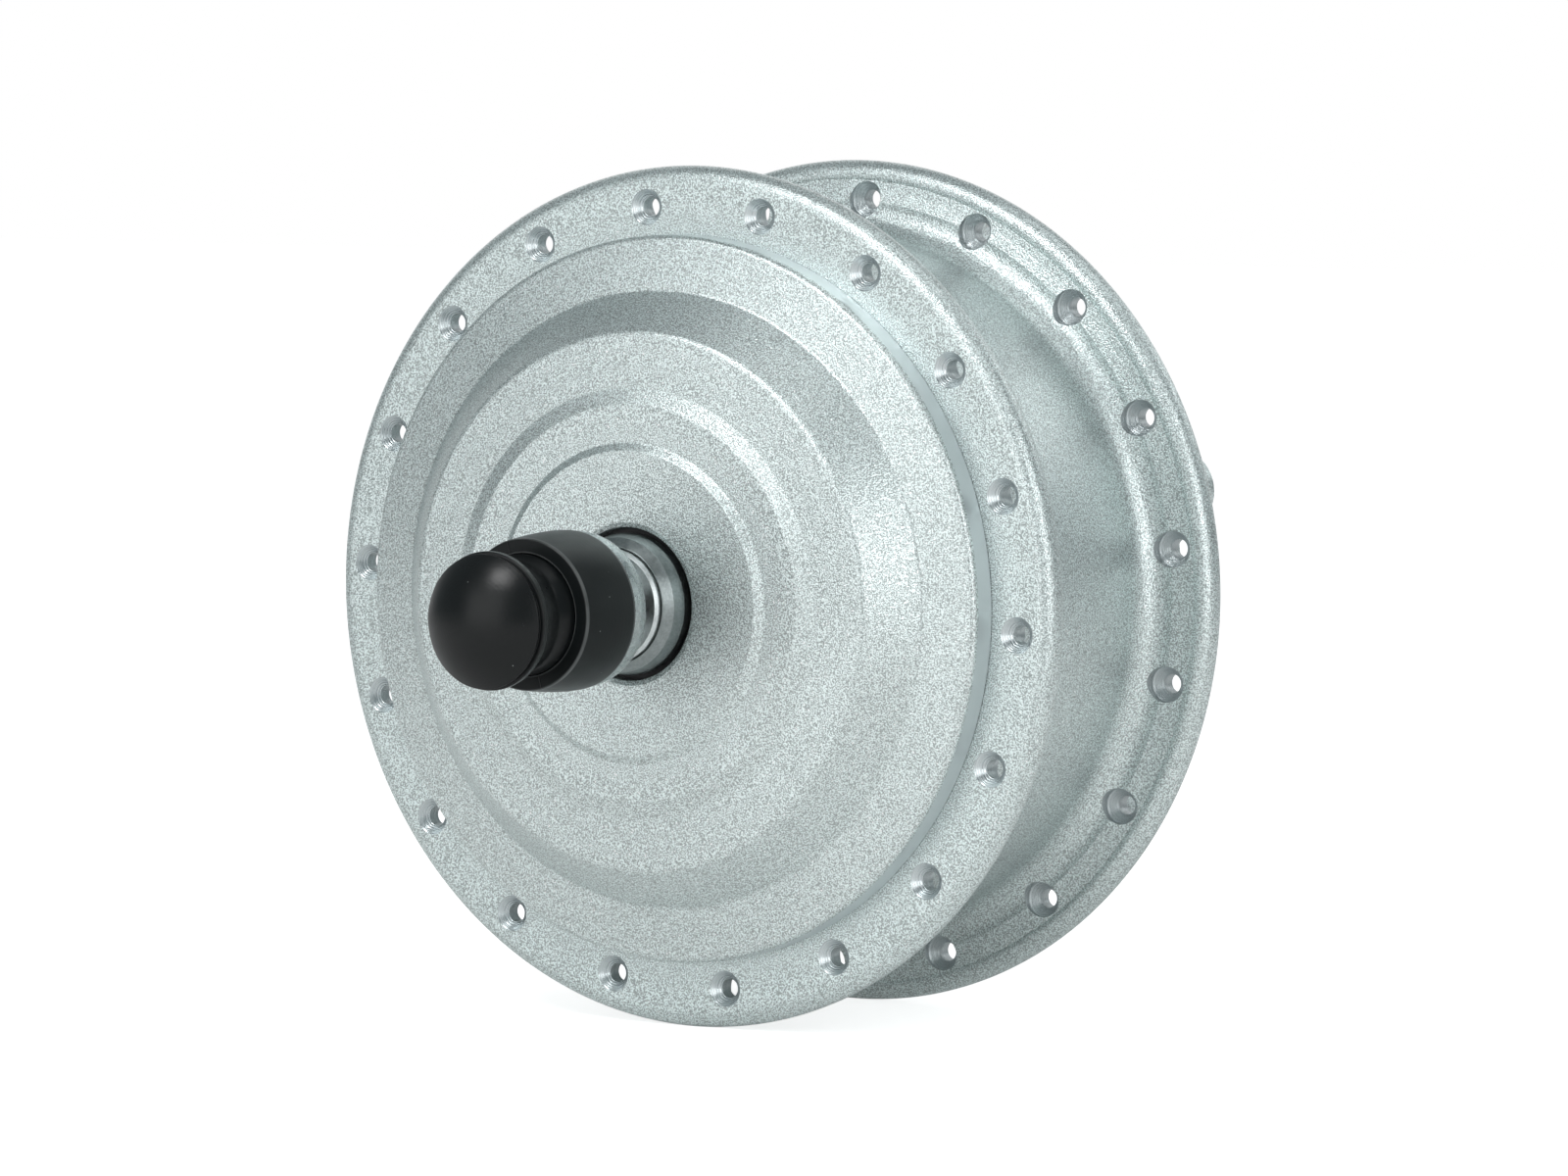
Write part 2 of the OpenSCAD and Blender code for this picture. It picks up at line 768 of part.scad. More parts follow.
// Rubber plug over the left end of the axle
module axle_plug() {
    dome_r = (lip_d * lip_d / 4 + dome_h * dome_h) / 2 / dome_h;
    skirt_y = cap_end + cap_wall;
    color("#17191a")
        at(0)
            difference() {
                union() {
                    rotate_extrude($fn = 128)
                        polygon([
                            [0, skirt_y], [neck_d / 2, skirt_y], [neck_d / 2, neck_y + 1.4],
                            [lip_d / 2, neck_y], [lip_d / 2, dome_y], [0, dome_y]
                        ]);
                    intersection() {
                        translate([0, 0, plug_top + dome_r])
                            sphere(r = dome_r, $fn = 160);
                        hole(lip_d / 2, plug_top - cut, dome_y + lip_t / 2, 128);
                    }
                }
                hole(axle_d / 2 + clear_gap, axle_left - 0.6, skirt_y + cut, 64);
            }
}

module seal(y) {
    lathe(64)
        band(collar_d / 2 + run_gap, bearing_d / 2, y, y + seal_t);
}

module left_seal() {
    color("#1c1e1e")
        seal(left_seal_y);
}

module right_seal() {
    color("#1c1e1e")
        seal(right_seal_y);
}

// Ball bearing with a groove in each ring, from its bore radius and outer radius
function ball_r(r1, r2) = (r2 - r1) * 0.29;
function ball_pitch(r1, r2) = (r1 + r2) / 2;

module bearing_inner(r1, r2, y, w) {
    lathe(64)
        difference() {
            band(r1 + seat_gap, ball_pitch(r1, r2) - ball_r(r1, r2) * 0.55, y, y + w);
            translate([ball_pitch(r1, r2), y + w / 2])
                circle(r = ball_r(r1, r2) + groove_gap, $fn = 32);
        }
}

module bearing_outer(r1, r2, y, w) {
    lathe(64)
        difference() {
            band(ball_pitch(r1, r2) + ball_r(r1, r2) * 0.55, r2, y, y + w);
            translate([ball_pitch(r1, r2), y + w / 2])
                circle(r = ball_r(r1, r2) + groove_gap, $fn = 32);
        }
}

module bearing_balls(r1, r2, y, w) {
    for (i = [0 : ball_n - 1])
        at(i * 360 / ball_n)
            translate([ball_pitch(r1, r2), 0, y + w / 2])
                sphere(r = ball_r(r1, r2), $fn = 32);
}

module left_bearing_inner() {
    color("#a8adae")
        bearing_inner(axle_d / 2, bearing_d / 2, left_bearing_y, left_bearing_w);
}

module left_bearing_outer() {
    color("#a8adae")
        bearing_outer(axle_d / 2, bearing_d / 2, left_bearing_y, left_bearing_w);
}

module left_bearing_balls() {
    color("#d0d4d5")
        bearing_balls(axle_d / 2, bearing_d / 2, left_bearing_y, left_bearing_w);
}

module right_bearing_inner() {
    color("#a8adae")
        bearing_inner(right_seat_r, bearing_d / 2, right_bearing_y, right_bearing_w);
}

module right_bearing_outer() {
    color("#a8adae")
        bearing_outer(right_seat_r, bearing_d / 2, right_bearing_y, right_bearing_w);
}

module right_bearing_balls() {
    color("#d0d4d5")
        bearing_balls(right_seat_r, bearing_d / 2, right_bearing_y, right_bearing_w);
}

module rotor_bearing_inner() {
    color("#a8adae")
        bearing_inner(axle_d / 2, rotor_bearing_d / 2, rotor_bearing_y, rotor_bearing_w);
}

module rotor_bearing_outer() {
    color("#a8adae")
        bearing_outer(axle_d / 2, rotor_bearing_d / 2, rotor_bearing_y, rotor_bearing_w);
}

module rotor_bearing_balls() {
    color("#d0d4d5")
        bearing_balls(axle_d / 2, rotor_bearing_d / 2, rotor_bearing_y, rotor_bearing_w);
}

// Aluminium hub plate of the rotor, round its bearing and the sun gear's tail
module rotor_hub() {
    sun_root = gear_m * sun_teeth / 2 - 1.25 * gear_m;
    boss_r = rotor_bearing_d / 2 + 2.6;
    color("#aeb4b6")
        lathe(96)
            difference() {
                polygon([
                    [sun_root + seat_gap, rotor_hub_y], [boss_r, rotor_hub_y],
                    [boss_r, plate_y], [rotor_r - rotor_wall - seat_gap, plate_y],
                    [rotor_r - rotor_wall - seat_gap, plate_y + plate_t],
                    [boss_r, plate_y + plate_t], [boss_r, rotor_hub_end],
                    [sun_root + seat_gap, rotor_hub_end]
                ]);
                band(0, rotor_bearing_d / 2 + seat_gap, rotor_bearing_y, rotor_hub_end + cut);
            }
}

module rotor_can() {
    color("#84898b")
        lathe(128)
            band(rotor_r - rotor_wall, rotor_r, plate_y, core_end + 1);
}

module rotor_magnets() {
    out_r = rotor_r - rotor_wall - seat_gap;
    color("#3f4345")
        for (i = [0 : magnet_n - 1])
            at(i * 360 / magnet_n)
                intersection() {
                    difference() {
                        hole(out_r, core_y - 0.5, core_end + 0.5, 128);
                        hole(out_r - magnet_t, core_y - cut, core_end + cut, 128);
                    }
                    translate([out_r - magnet_t - cut, -out_r * 140 / magnet_n / 57.3, core_y - cut])
                        cube([magnet_t + 2 * cut, out_r * 280 / magnet_n / 57.3, core_w + 2 * cut]);
                }
}

// Width of the stator's teeth, shared by the core and its coils
tooth_w = 3.8;

// Laminated core with T-shaped teeth
module stator_core() {
    color("#6a6f74")
        at(0)
            translate([0, 0, core_y])
                difference() {
                    intersection() {
                        hole(stator_r, 0, core_w, 128);
                        union() {
                            hole(yoke_r, 0, core_w, 96);
                            for (i = [0 : slot_n - 1])
                                rotate([0, 0, i * 360 / slot_n]) {
                                    translate([yoke_r - cut, -tooth_w / 2, 0])
                                        cube([stator_r - yoke_r, tooth_w, core_w]);
                                    translate([stator_r - 2.2, -stator_r * PI / slot_n + 0.9, 0])
                                        cube([3, stator_r * 2 * PI / slot_n - 1.8, core_w]);
                                }
                        }
                    }
                    hole(core_bore_r, -cut, core_w + cut, 96);
                }
}

module stator_hub() {
    vent_d = 6.4;
    color("#aeb4b6")
        difference() {
            lathe(96)
                band(axle_core_d / 2 + seat_gap, core_bore_r - seat_gap, core_y, core_end);
            for (i = [0 : 5])
                at(i * 60 + 30)
                    translate([(axle_core_d / 2 + core_bore_r) / 2, 0, 0])
                        hole(vent_d / 2, core_y - cut, core_end + cut);
        }
}

// Nylon end rings between the core and the coils, with posts that carry the hall board
module stator_insulators() {
    color("#e4e1d6") {
        for (y = [core_y - insulator_t, core_end])
            lathe(96)
                band(core_bore_r, yoke_r, y, y + insulator_t);
        for (i = [0 : 2])
            at(i * 120 + 20)
                translate([(core_bore_r + yoke_r) / 2 + 0.4, 0, 0])
                    hole(1.2, core_end + insulator_t / 2, board_y);
    }
}

module stator_windings() {
    coil_end = stator_r - 2.6;
    coil_in = PI * (yoke_r + 0.5) / slot_n - 1;
    coil_out = PI * coil_end / slot_n - 1.9;
    over = 2.2;
    color("#b5652b")
        at(0)
            for (i = [0 : slot_n - 1])
                rotate([0, 0, i * 360 / slot_n])
                    difference() {
                        translate([0, 0, core_y - over])
                            linear_extrude(core_w + 2 * over)
                                polygon([
                                    [yoke_r + 0.5, -coil_in], [coil_end, -coil_out],
                                    [coil_end, coil_out], [yoke_r + 0.5, coil_in]
                                ]);
                        translate([yoke_r - cut, -tooth_w / 2 - 0.1, core_y - 0.1])
                            cube([coil_end, tooth_w + 0.2, core_w + 0.2]);
                    }
}

// Round board with three hall sensors that look at the magnets
module hall_board() {
    sensor_l = 3;
    sensor_w = 4;
    sensor_h = 0.9;
    sensor_sink = 0.2;
    rim_r = stator_r - 3;
    color("#2f6b45") {
        difference() {
            lathe(96)
                band(core_bore_r + 1, rim_r, board_y, board_y + board_t);
            at(0)
                hole(1.6, board_y - cut, board_y + board_t + cut);
        }
        for (i = [0 : 2])
            at(i * 40 + 10)
                translate([rim_r - 0.5 - sensor_l, -sensor_w / 2, board_y + sensor_sink - sensor_h])
                    cube([sensor_l, sensor_w, sensor_h]);
    }
}

hub_shell();
left_cover();
right_cover();
cover_gasket();
cover_screws();
ring_gear();
left_seal();
right_seal();
left_bearing_outer();
right_bearing_outer();
axle();
axle_key();
left_collar();
right_collar();
left_inner_washer();
right_inner_washer();
left_outer_washer();
right_outer_washer();
left_axle_nut();
right_axle_nut();
left_bearing_inner();
right_bearing_inner();
rotor_bearing_inner();
clutch_race();
clutch_rollers();
planet_carrier();
planet_pins();
pin_clips();
stator_hub();
stator_core();
stator_insulators();
stator_windings();
hall_board();
rotor_hub();
rotor_can();
rotor_magnets();
sun_gear();
rotor_bearing_outer();
planet_gear(0);  // planet_gear_1
planet_gear(1);  // planet_gear_2
planet_gear(2);  // planet_gear_3
planet_bush(0);  // planet_bush_1
planet_bush(1);  // planet_bush_2
planet_bush(2);  // planet_bush_3
left_bearing_balls();
right_bearing_balls();
rotor_bearing_balls();
nut_cap();
axle_plug();
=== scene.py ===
import math

import bpy
import numpy as np
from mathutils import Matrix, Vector


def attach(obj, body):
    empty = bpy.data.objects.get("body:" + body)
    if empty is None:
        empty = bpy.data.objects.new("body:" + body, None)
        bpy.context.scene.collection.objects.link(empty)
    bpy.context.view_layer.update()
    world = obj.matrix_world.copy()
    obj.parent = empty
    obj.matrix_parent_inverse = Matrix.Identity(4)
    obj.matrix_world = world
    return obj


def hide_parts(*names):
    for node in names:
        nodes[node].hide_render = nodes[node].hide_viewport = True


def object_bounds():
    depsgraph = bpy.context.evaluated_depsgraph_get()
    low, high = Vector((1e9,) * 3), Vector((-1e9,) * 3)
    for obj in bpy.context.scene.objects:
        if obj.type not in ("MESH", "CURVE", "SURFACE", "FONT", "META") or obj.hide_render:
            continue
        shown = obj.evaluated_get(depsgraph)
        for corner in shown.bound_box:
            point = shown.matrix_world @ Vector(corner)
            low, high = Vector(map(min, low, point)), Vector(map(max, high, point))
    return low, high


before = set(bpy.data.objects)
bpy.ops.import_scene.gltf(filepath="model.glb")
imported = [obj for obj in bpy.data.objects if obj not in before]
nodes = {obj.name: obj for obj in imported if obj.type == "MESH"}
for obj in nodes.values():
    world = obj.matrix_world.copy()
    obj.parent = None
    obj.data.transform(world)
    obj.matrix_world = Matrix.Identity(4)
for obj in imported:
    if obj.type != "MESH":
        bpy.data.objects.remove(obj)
cad_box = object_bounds()

# The camera looks at the plain end of the axle from the right and a little above,
# from about 1.5 m away with a long lens, as in a catalogue picture.
camera = bpy.data.objects.new("camera", bpy.data.cameras.new("camera"))
bpy.context.scene.collection.objects.link(camera)
camera.location = (0.816728, -1.212417, 0.101406)
camera.rotation_euler = (math.radians(86.0354), 0, math.radians(33.9293))
camera.data.sensor_width = 36
camera.data.lens = 211.829
camera.data.clip_start, camera.data.clip_end = 0.05, 50
bpy.context.scene.camera = camera
bpy.context.scene.view_settings.view_transform = "Standard"


# The studio: a sheet of white paper under the hub, which keeps the hub's shadow, in a pale room.
# Soft lamps stand at the left front, high in front, beside the camera, overhead and behind.
class Value:
    """A shader socket that can be reckoned with: each operator adds a Math node."""

    def __init__(self, finish, socket):
        self.finish, self.socket = finish, socket

    def reckon(self, operation, *terms):
        return self.finish.node("ShaderNodeMath", {"operation": operation}, terms)

    def __add__(self, other):
        return self.reckon("ADD", self, other)

    def __radd__(self, other):
        return self.reckon("ADD", other, self)

    def __sub__(self, other):
        return self.reckon("SUBTRACT", self, other)

    def __rsub__(self, other):
        return self.reckon("SUBTRACT", other, self)

    def __mul__(self, other):
        return self.reckon("MULTIPLY", self, other)

    def __rmul__(self, other):
        return self.reckon("MULTIPLY", other, self)

    def __abs__(self):
        return self.reckon("ABSOLUTE", self)

    def root(self):
        return self.reckon("SQRT", self)

    def sine(self):
        return self.reckon("SINE", self)


class Finish:
    """A material while it is made, or the room's light where a tree is given."""

    def __init__(self, name, tree=None):
        self.material = None
        if tree is None:
            self.material = bpy.data.materials.new(name)
            self.material.use_nodes = True
            tree = self.material.node_tree
        tree.nodes.clear()
        self.tree = tree

    def node(self, kind, settings=(), sockets=(), out=0):
        """Any node, from its type, its settings and the values or links of its sockets."""
        made = self.tree.nodes.new(kind)
        for key, value in dict(settings).items():
            setattr(made, key, value)
        pairs = sockets.items() if isinstance(sockets, dict) else enumerate(sockets)
        for key, value in pairs:
            if isinstance(value, Value):
                self.tree.links.new(value.socket, made.inputs[key])
            else:
                made.inputs[key].default_value = (*value, 1) if made.inputs[key].type == "RGBA" else value
        return Value(self, made.outputs[out] if made.outputs else None)

    def place(self, axis=None):
        """The point of the surface in the frame's metres, or one of its three numbers."""
        point = self.node("ShaderNodeTexCoord", out="Object")
        return point if axis is None else self.node("ShaderNodeSeparateXYZ", (), [point], out=axis)

    def noise(self, scale, detail=2.0, roughness=0.5):
        sockets = {"Vector": self.place(), "Scale": scale, "Detail": detail, "Roughness": roughness}
        return self.node("ShaderNodeTexNoise", (), sockets)

    def between(self, value, low, high, out_low=0.0, out_high=1.0):
        """A soft step of a value between two levels."""
        kind = {"interpolation_type": "SMOOTHSTEP"}
        return self.node("ShaderNodeMapRange", kind, [value, low, high, out_low, out_high])

    def blend(self, share, first, second):
        """A colour between two colours, by a share from 0 to 1."""
        return self.node("ShaderNodeMix", {"data_type": "RGBA"}, {0: share, 6: first, 7: second}, out=2)

    def bump(self, height, distance, strength=1.0):
        sockets = {"Strength": strength, "Distance": distance, "Height": height}
        return self.node("ShaderNodeBump", (), sockets)

    def done(self, shader):
        kind = "ShaderNodeOutputMaterial" if self.material else "ShaderNodeOutputWorld"
        self.node(kind, (), {"Surface": shader})
        return self.material

    def surface(self, **sockets):
        named = {key.replace("_", " ").title().replace("Ior", "IOR"): value for key, value in sockets.items()}
        return self.done(self.node("ShaderNodeBsdfPrincipled", (), named))


def seen(finish, in_metal=1.0):
    """How much of the pale backdrop a ray gets: all for the camera, a share for metal and glass."""
    camera_ray, glossy_ray, clear_ray = (
        finish.node("ShaderNodeLightPath", out=f"Is {kind} Ray") for kind in ("Camera", "Glossy", "Transmission")
    )
    return camera_ray + (glossy_ray + clear_ray) * in_metal


room = bpy.data.worlds.new("room")
room.use_nodes = True
bpy.context.scene.world = room
air = Finish("room", room.node_tree)
air_way = air.node("ShaderNodeTexCoord", out="Generated")
air_back = air.node("ShaderNodeVectorMath", {"operation": "DOT_PRODUCT"}, [air_way, (-0.558, 0.83, 0.0)], out="Value")
air_wall = air.blend(air.between(air_back, 0.60, 0.90), (0.22, 0.255, 0.265), (1, 1, 1))
air_grey = air.node("ShaderNodeBackground", (), {"Color": (0.90, 0.94, 0.95), "Strength": 0.40})
air_white = air.node("ShaderNodeBackground", (), {"Color": air_wall, "Strength": 1.0})
air.done(air.node("ShaderNodeMixShader", (), [seen(air), air_grey, air_white]))

sheet_size, sheet_steps = 6.0, 12
sheet_mesh = bpy.data.meshes.new("paper")
sheet_mesh.from_pydata(
    [((i / sheet_steps - 0.5) * sheet_size, (j / sheet_steps - 0.5) * sheet_size, cad_box[0].z)
     for j in range(sheet_steps + 1) for i in range(sheet_steps + 1)],
    [],
    [(k, k + 1, k + sheet_steps + 2, k + sheet_steps + 1)
     for k in range(sheet_steps * (sheet_steps + 1)) if (k + 1) % (sheet_steps + 1)],
)
paper = bpy.data.objects.new("paper", sheet_mesh)
bpy.context.scene.collection.objects.link(paper)
fibre = Finish("paper")
fibre_lit = fibre.node(
    "ShaderNodeBsdfDiffuse", (), [fibre.blend(fibre.noise(60.0, 3.0), (0.79, 0.79, 0.79), (0.83, 0.83, 0.83))]
)
fibre_dark = fibre.node("ShaderNodeEmission", (), {"Color": (0, 0, 0), "Strength": 0.0})
fibre_glow = fibre.node("ShaderNodeEmission", (), {"Color": (1, 1, 1), "Strength": 0.72})
fibre_more = fibre.node("ShaderNodeMixShader", (), [seen(fibre, 0.15), fibre_dark, fibre_glow])
sheet_mesh.materials.append(fibre.done(fibre.node("ShaderNodeAddShader", (), [fibre_lit, fibre_more])))


def lamp(name, place, width, height, power):
    """A soft rectangular lamp that points at the hub."""
    light = bpy.data.lights.new(name, "AREA")
    light.shape, light.size, light.size_y, light.energy = "RECTANGLE", width, height, power
    stand = bpy.data.objects.new(name, light)
    bpy.context.scene.collection.objects.link(stand)
    stand.location = place
    stand.rotation_euler = (-Vector(place)).to_track_quat("-Z", "Y").to_euler()


lamp("left_lamp", (-0.38, -1.56, 0.30), 1.25, 1.10, 6.2)
lamp("front_lamp", (-0.10, -1.04, 1.08), 0.50, 0.42, 7.5)
lamp("camera_lamp", (1.28, -0.68, 0.42), 0.66, 0.86, 5.5)
lamp("top_lamp", (0.42, 0.12, 1.30), 0.90, 0.70, 2.3)
lamp("back_lamp", (0.9, 1.4, 1.0), 1.0, 0.8, 4.0)


# Hub shell: one aluminium casting with both spoke flanges and the barrel between them.
# It is turned, drilled, blasted, and coated in a silver lacquer whose fine grain glitters.
def rolled(corners):
    """A closed turned outline in millimetres from (radius, place, roll), with each corner rolled."""
    made, count = [], len(corners)
    for k, (r, y, roll) in enumerate(corners):
        here = np.array([r, y], float)
        if not roll:
            made.append((r, y))
            continue
        back = np.array(corners[k - 1][:2], float) - here
        on = np.array(corners[(k + 1) % count][:2], float) - here
        back, on = back / np.linalg.norm(back), on / np.linalg.norm(on)
        half = math.acos(np.clip(back @ on, -1, 1)) / 2
        middle = here + (back + on) / np.linalg.norm(back + on) * roll / math.sin(half)
        first, last = here + back * roll / math.tan(half) - middle, here + on * roll / math.tan(half) - middle
        turn = math.atan2(first[0] * last[1] - first[1] * last[0], first @ last)
        steps = max(3, int(abs(turn) / math.radians(9)))
        for a in np.linspace(0, turn, steps + 1):
            c, s = math.cos(a), math.sin(a)
            made.append((middle[0] + first[0] * c - first[1] * s, middle[1] + first[0] * s + first[1] * c))
    return made


def arc(r, y, radius, start, end, steps):
    """Points of a circular arc of an outline, in degrees from outwards towards the brake side."""
    return [(r + radius * math.cos(a), y + radius * math.sin(a))
            for a in np.radians(np.linspace(start, end, steps + 1))]


def rings_of(outline):
    """The rings of a closed outline as (radius, place, normal, whether it opens a sharp corner)."""
    full = []
    for k, point in enumerate(outline):
        a, b = np.array(point, float), np.array(outline[(k + 1) % len(outline)], float)
        full.append(a)
        length = np.linalg.norm(b - a)
        if length > 0.5:
            full += [a + (b - a) * 0.04 / length, b - (b - a) * 0.04 / length]
    loop = np.array(full)
    following = np.roll(loop, -1, axis=0)
    way = 1 if np.sum(loop[:, 0] * following[:, 1] - loop[:, 1] * following[:, 0]) > 0 else -1
    step = following - loop
    out = np.stack([step[:, 1], -step[:, 0]], 1) * way
    out /= np.maximum(np.linalg.norm(out, axis=1), 1e-9)[:, None]
    rings = []
    for k, (r, y) in enumerate(full):
        n0, n1 = out[k - 1], out[k]
        if n0 @ n1 > math.cos(math.radians(28)):
            mean = (n0 + n1) / np.linalg.norm(n0 + n1)
            rings.append((r, y, mean[0], mean[1], False))
        else:
            rings += [(r, y, n0[0], n0[1], False), (r, y, n1[0], n1[1], True)]
    return rings


def turn_mesh(outline, columns=288, drills=(), marked=()):
    """Points, faces, normals and material numbers of a turned piece.

    A drill is a circle of holes through a face, and its edge(place) is a hole's radius there.
    marked gives the parts of the outline inside a box (r, r, y, y) a material of their own.
    """
    rings = rings_of(outline)
    angle = np.linspace(0, 2 * math.pi, columns, endpoint=False)
    sin, cos = np.sin(angle), np.cos(angle)
    points = [p for r, y, *_ in rings for p in np.stack([r * sin, np.full(columns, y), r * cos], 1)]
    normals = [n for *_, nr, ny, _ in rings for n in np.stack([nr * sin, np.full(columns, ny), nr * cos], 1)]
    faces, marks, taken = [], [], set()
    for drill in drills:
        (low, high), (front, back) = drill["radii"], drill["places"]
        circle, count, half, edge = drill["circle"], drill["count"], drill["half"], drill["edge"]
        zone = [k for k, (r, y, *_) in enumerate(rings) if low - 1e-6 <= r <= high + 1e-6 and front <= y <= back]
        pitch, first = columns // count, round(drill["start"] / 360 * columns)
        radii, places, lean_r, lean_y = (np.array(v) for v in zip(*sorted(rings[k][:4] for k in zone)))
        for i in range(count):
            middle = math.radians(drill["start"]) + 2 * math.pi * i / count
            left, right = first + i * pitch - half, first + i * pitch + half
            taken |= {(k, c % columns) for k in zone[:-1] for c in range(left, right)}
            border = [zone[0] * columns + c % columns for c in range(left, right)]
            border += [k * columns + right % columns for k in zone[:-1]]
            border += [zone[-1] * columns + c % columns for c in range(right, left, -1)]
            border += [k * columns + left % columns for k in zone[:0:-1]]
            spread = np.array([points[v] for v in border])
            turn = (np.arctan2(spread[:, 0], spread[:, 2]) - middle + math.pi) % (2 * math.pi) - math.pi
            flat = np.stack([turn * circle, np.hypot(spread[:, 0], spread[:, 2]) - circle], 1)
            flat = np.stack([flat, (flat + np.roll(flat, -1, axis=0)) / 2], 1).reshape(-1, 2)
            unit = flat / np.linalg.norm(flat, axis=1)[:, None]
            reach = np.full(len(flat), 2.0)
            for _ in range(40):
                reach = (reach + edge(np.interp(circle + unit[:, 1] * reach, radii, places))) / 2
            loops = []
            for share in (0.4, 0.75, 1.0):
                ring = flat + (unit * reach[:, None] - flat) * share
                r, a = circle + ring[:, 1], middle + ring[:, 0] / circle
                y, nr, ny = (np.interp(r, radii, v) for v in (places, lean_r, lean_y))
                size = np.hypot(nr, ny)
                loops.append(range(len(points), len(points) + len(r)))
                points += list(np.stack([r * np.sin(a), y, r * np.cos(a)], 1))
                normals += list(np.stack([nr * np.sin(a), ny, nr * np.cos(a)], 1) / size[:, None])
            n = len(border)
            for j in range(n):
                a, b, ring = border[j], border[(j + 1) % n], loops[0]
                p, q, s = ring[2 * j], ring[2 * j + 1], ring[(2 * j + 2) % (2 * n)]
                faces += [(a, p, q), (a, q, b), (b, q, s)]
            faces += [(one[j], two[j], two[(j + 1) % (2 * n)], one[(j + 1) % (2 * n)])
                      for one, two in zip(loops, loops[1:]) for j in range(2 * n)]
    marks += [0] * len(faces)
    for k, ring in enumerate(rings):
        m = (k + 1) % len(rings)
        if rings[m][4]:
            continue
        r, y = (ring[0] + rings[m][0]) / 2, (ring[1] + rings[m][1]) / 2
        mark = next((i for i, (a, b, c, d) in marked if a <= r <= b and c <= y <= d), 0)
        for j in range(columns):
            if (k, j) not in taken:
                i = (j + 1) % columns
                faces.append((k * columns + j, k * columns + i, m * columns + i, m * columns + j))
                marks.append(mark)
    return np.array(points), faces, np.array(normals), marks


def mesh_piece(name, made, body, slot, *materials):
    """A smooth mesh with its own normals, from millimetres, that rides on a body."""
    points, faces, normals, marks = made
    corner = np.array([f[:3] for f in faces])
    a, b, c = (points[corner[:, k]] for k in range(3))
    facing = np.einsum("ij,ij->i", np.cross(b - a, c - a), normals[corner].sum(1))
    faces = [tuple(f) if way >= 0 else tuple(f)[::-1] for f, way in zip(faces, facing)]
    mesh = bpy.data.meshes.new(name)
    mesh.from_pydata([tuple(p) for p in points * 0.001], [], faces)
    for material in materials:
        mesh.materials.append(material)
    mesh.polygons.foreach_set("material_index", marks)
    mesh.polygons.foreach_set("use_smooth", [True] * len(faces))
    mesh.normals_split_custom_set_from_vertices([tuple(n) for n in normals])
    piece = bpy.data.objects.new(name, mesh)
    bpy.context.scene.collection.objects.link(piece)
    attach(piece, body)
    return piece


def silver_lacquer(name, colour):
    """Blasted aluminium under silver lacquer, with a crisp glittering grain and a few bright flakes."""
    coat = Finish(name)
    fine = coat.noise(4900.0, 0.0)
    coarse = coat.noise(2500.0, 1.0)
    cloud = coat.noise(35.0, 2.0)
    grain = coat.between(fine * 0.75 + coarse * 0.25, 0.38, 0.62)
    flake = coat.between(coat.noise(3600.0, 0.0), 0.74, 0.80)
    dull = coat.blend(grain, tuple(c * 0.62 for c in colour), tuple(c * 1.36 for c in colour))
    return coat.surface(
        base_color=coat.blend(flake, dull, (1.0, 1.0, 1.0)),
        metallic=0.9,
        roughness=coat.between(cloud, 0.3, 0.7, 0.35, 0.39),
        normal=coat.bump(fine + coarse * 0.4, 0.00007, 0.9),
    )


shell_coat = silver_lacquer("shell_lacquer", (0.60, 0.665, 0.66))
hub_w, circle_r, hole_count = 52.0, 61.5, 18
bore_r, sink_top_r, sink_foot, sink_low_r, sink_low = 1.5, 3.0, 2.3, 2.9, 5.2
rim_r, face_y = 2.6, -hub_w / 2
plain_start, brake_start = -6.9, 3.1
flange_outline = [(49, face_y), (52, face_y), (58.0, face_y + 0.092), (59.7, face_y + 0.118)]
flange_outline += [(61.5, face_y + 0.146), (63.2, face_y + 0.172), (64.8, face_y + 0.197)]
flange_outline += arc(65, face_y + 0.2 + rim_r, rim_r, -90, 93, 20)
flange_outline += [(64.55, face_y + 5.3), (63.2, face_y + 5.594), (61.8, face_y + 6.018)]
flange_outline += arc(61.2, face_y + 11.0, 4.8, -90, -180, 14)
shell_outline = flange_outline + [(r, -y) for r, y in reversed(flange_outline[1:])]
shell_outline += [(48, -face_y), (48, -9.6), (49, -9.6)]


def outer_edge(y):
    """Radius of a countersink where it meets the flat side of a flange, by place along the axle."""
    return sink_top_r - (hub_w / 2 - np.abs(y))


def inner_edge(y):
    """Radius of a spoke hole where it comes out on the barrel's side of a flange."""
    depth = hub_w / 2 - np.abs(y)
    return np.clip(depth - sink_foot, bore_r, sink_low_r)


def spoke_drill(start, side, inner):
    """One side of a flange's circle of holes, with the zone of the outline that it cuts."""
    high, far = (64.53, (17.0, 21.5)) if inner else (64.8, (25.5, 26.1))
    return {"radii": (58.0, high), "places": far if side > 0 else (-far[1], -far[0]), "circle": circle_r,
            "count": hole_count, "start": start, "half": 3, "edge": inner_edge if inner else outer_edge}


spoke_drills = [spoke_drill(start, side, inner)
                for start, side in ((plain_start, -1), (brake_start, 1)) for inner in (False, True)]
shell_piece = mesh_piece("shell_casting", turn_mesh(shell_outline, 288, spoke_drills),
                         "shell", "painted_shell", shell_coat)
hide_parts("hub_shell")


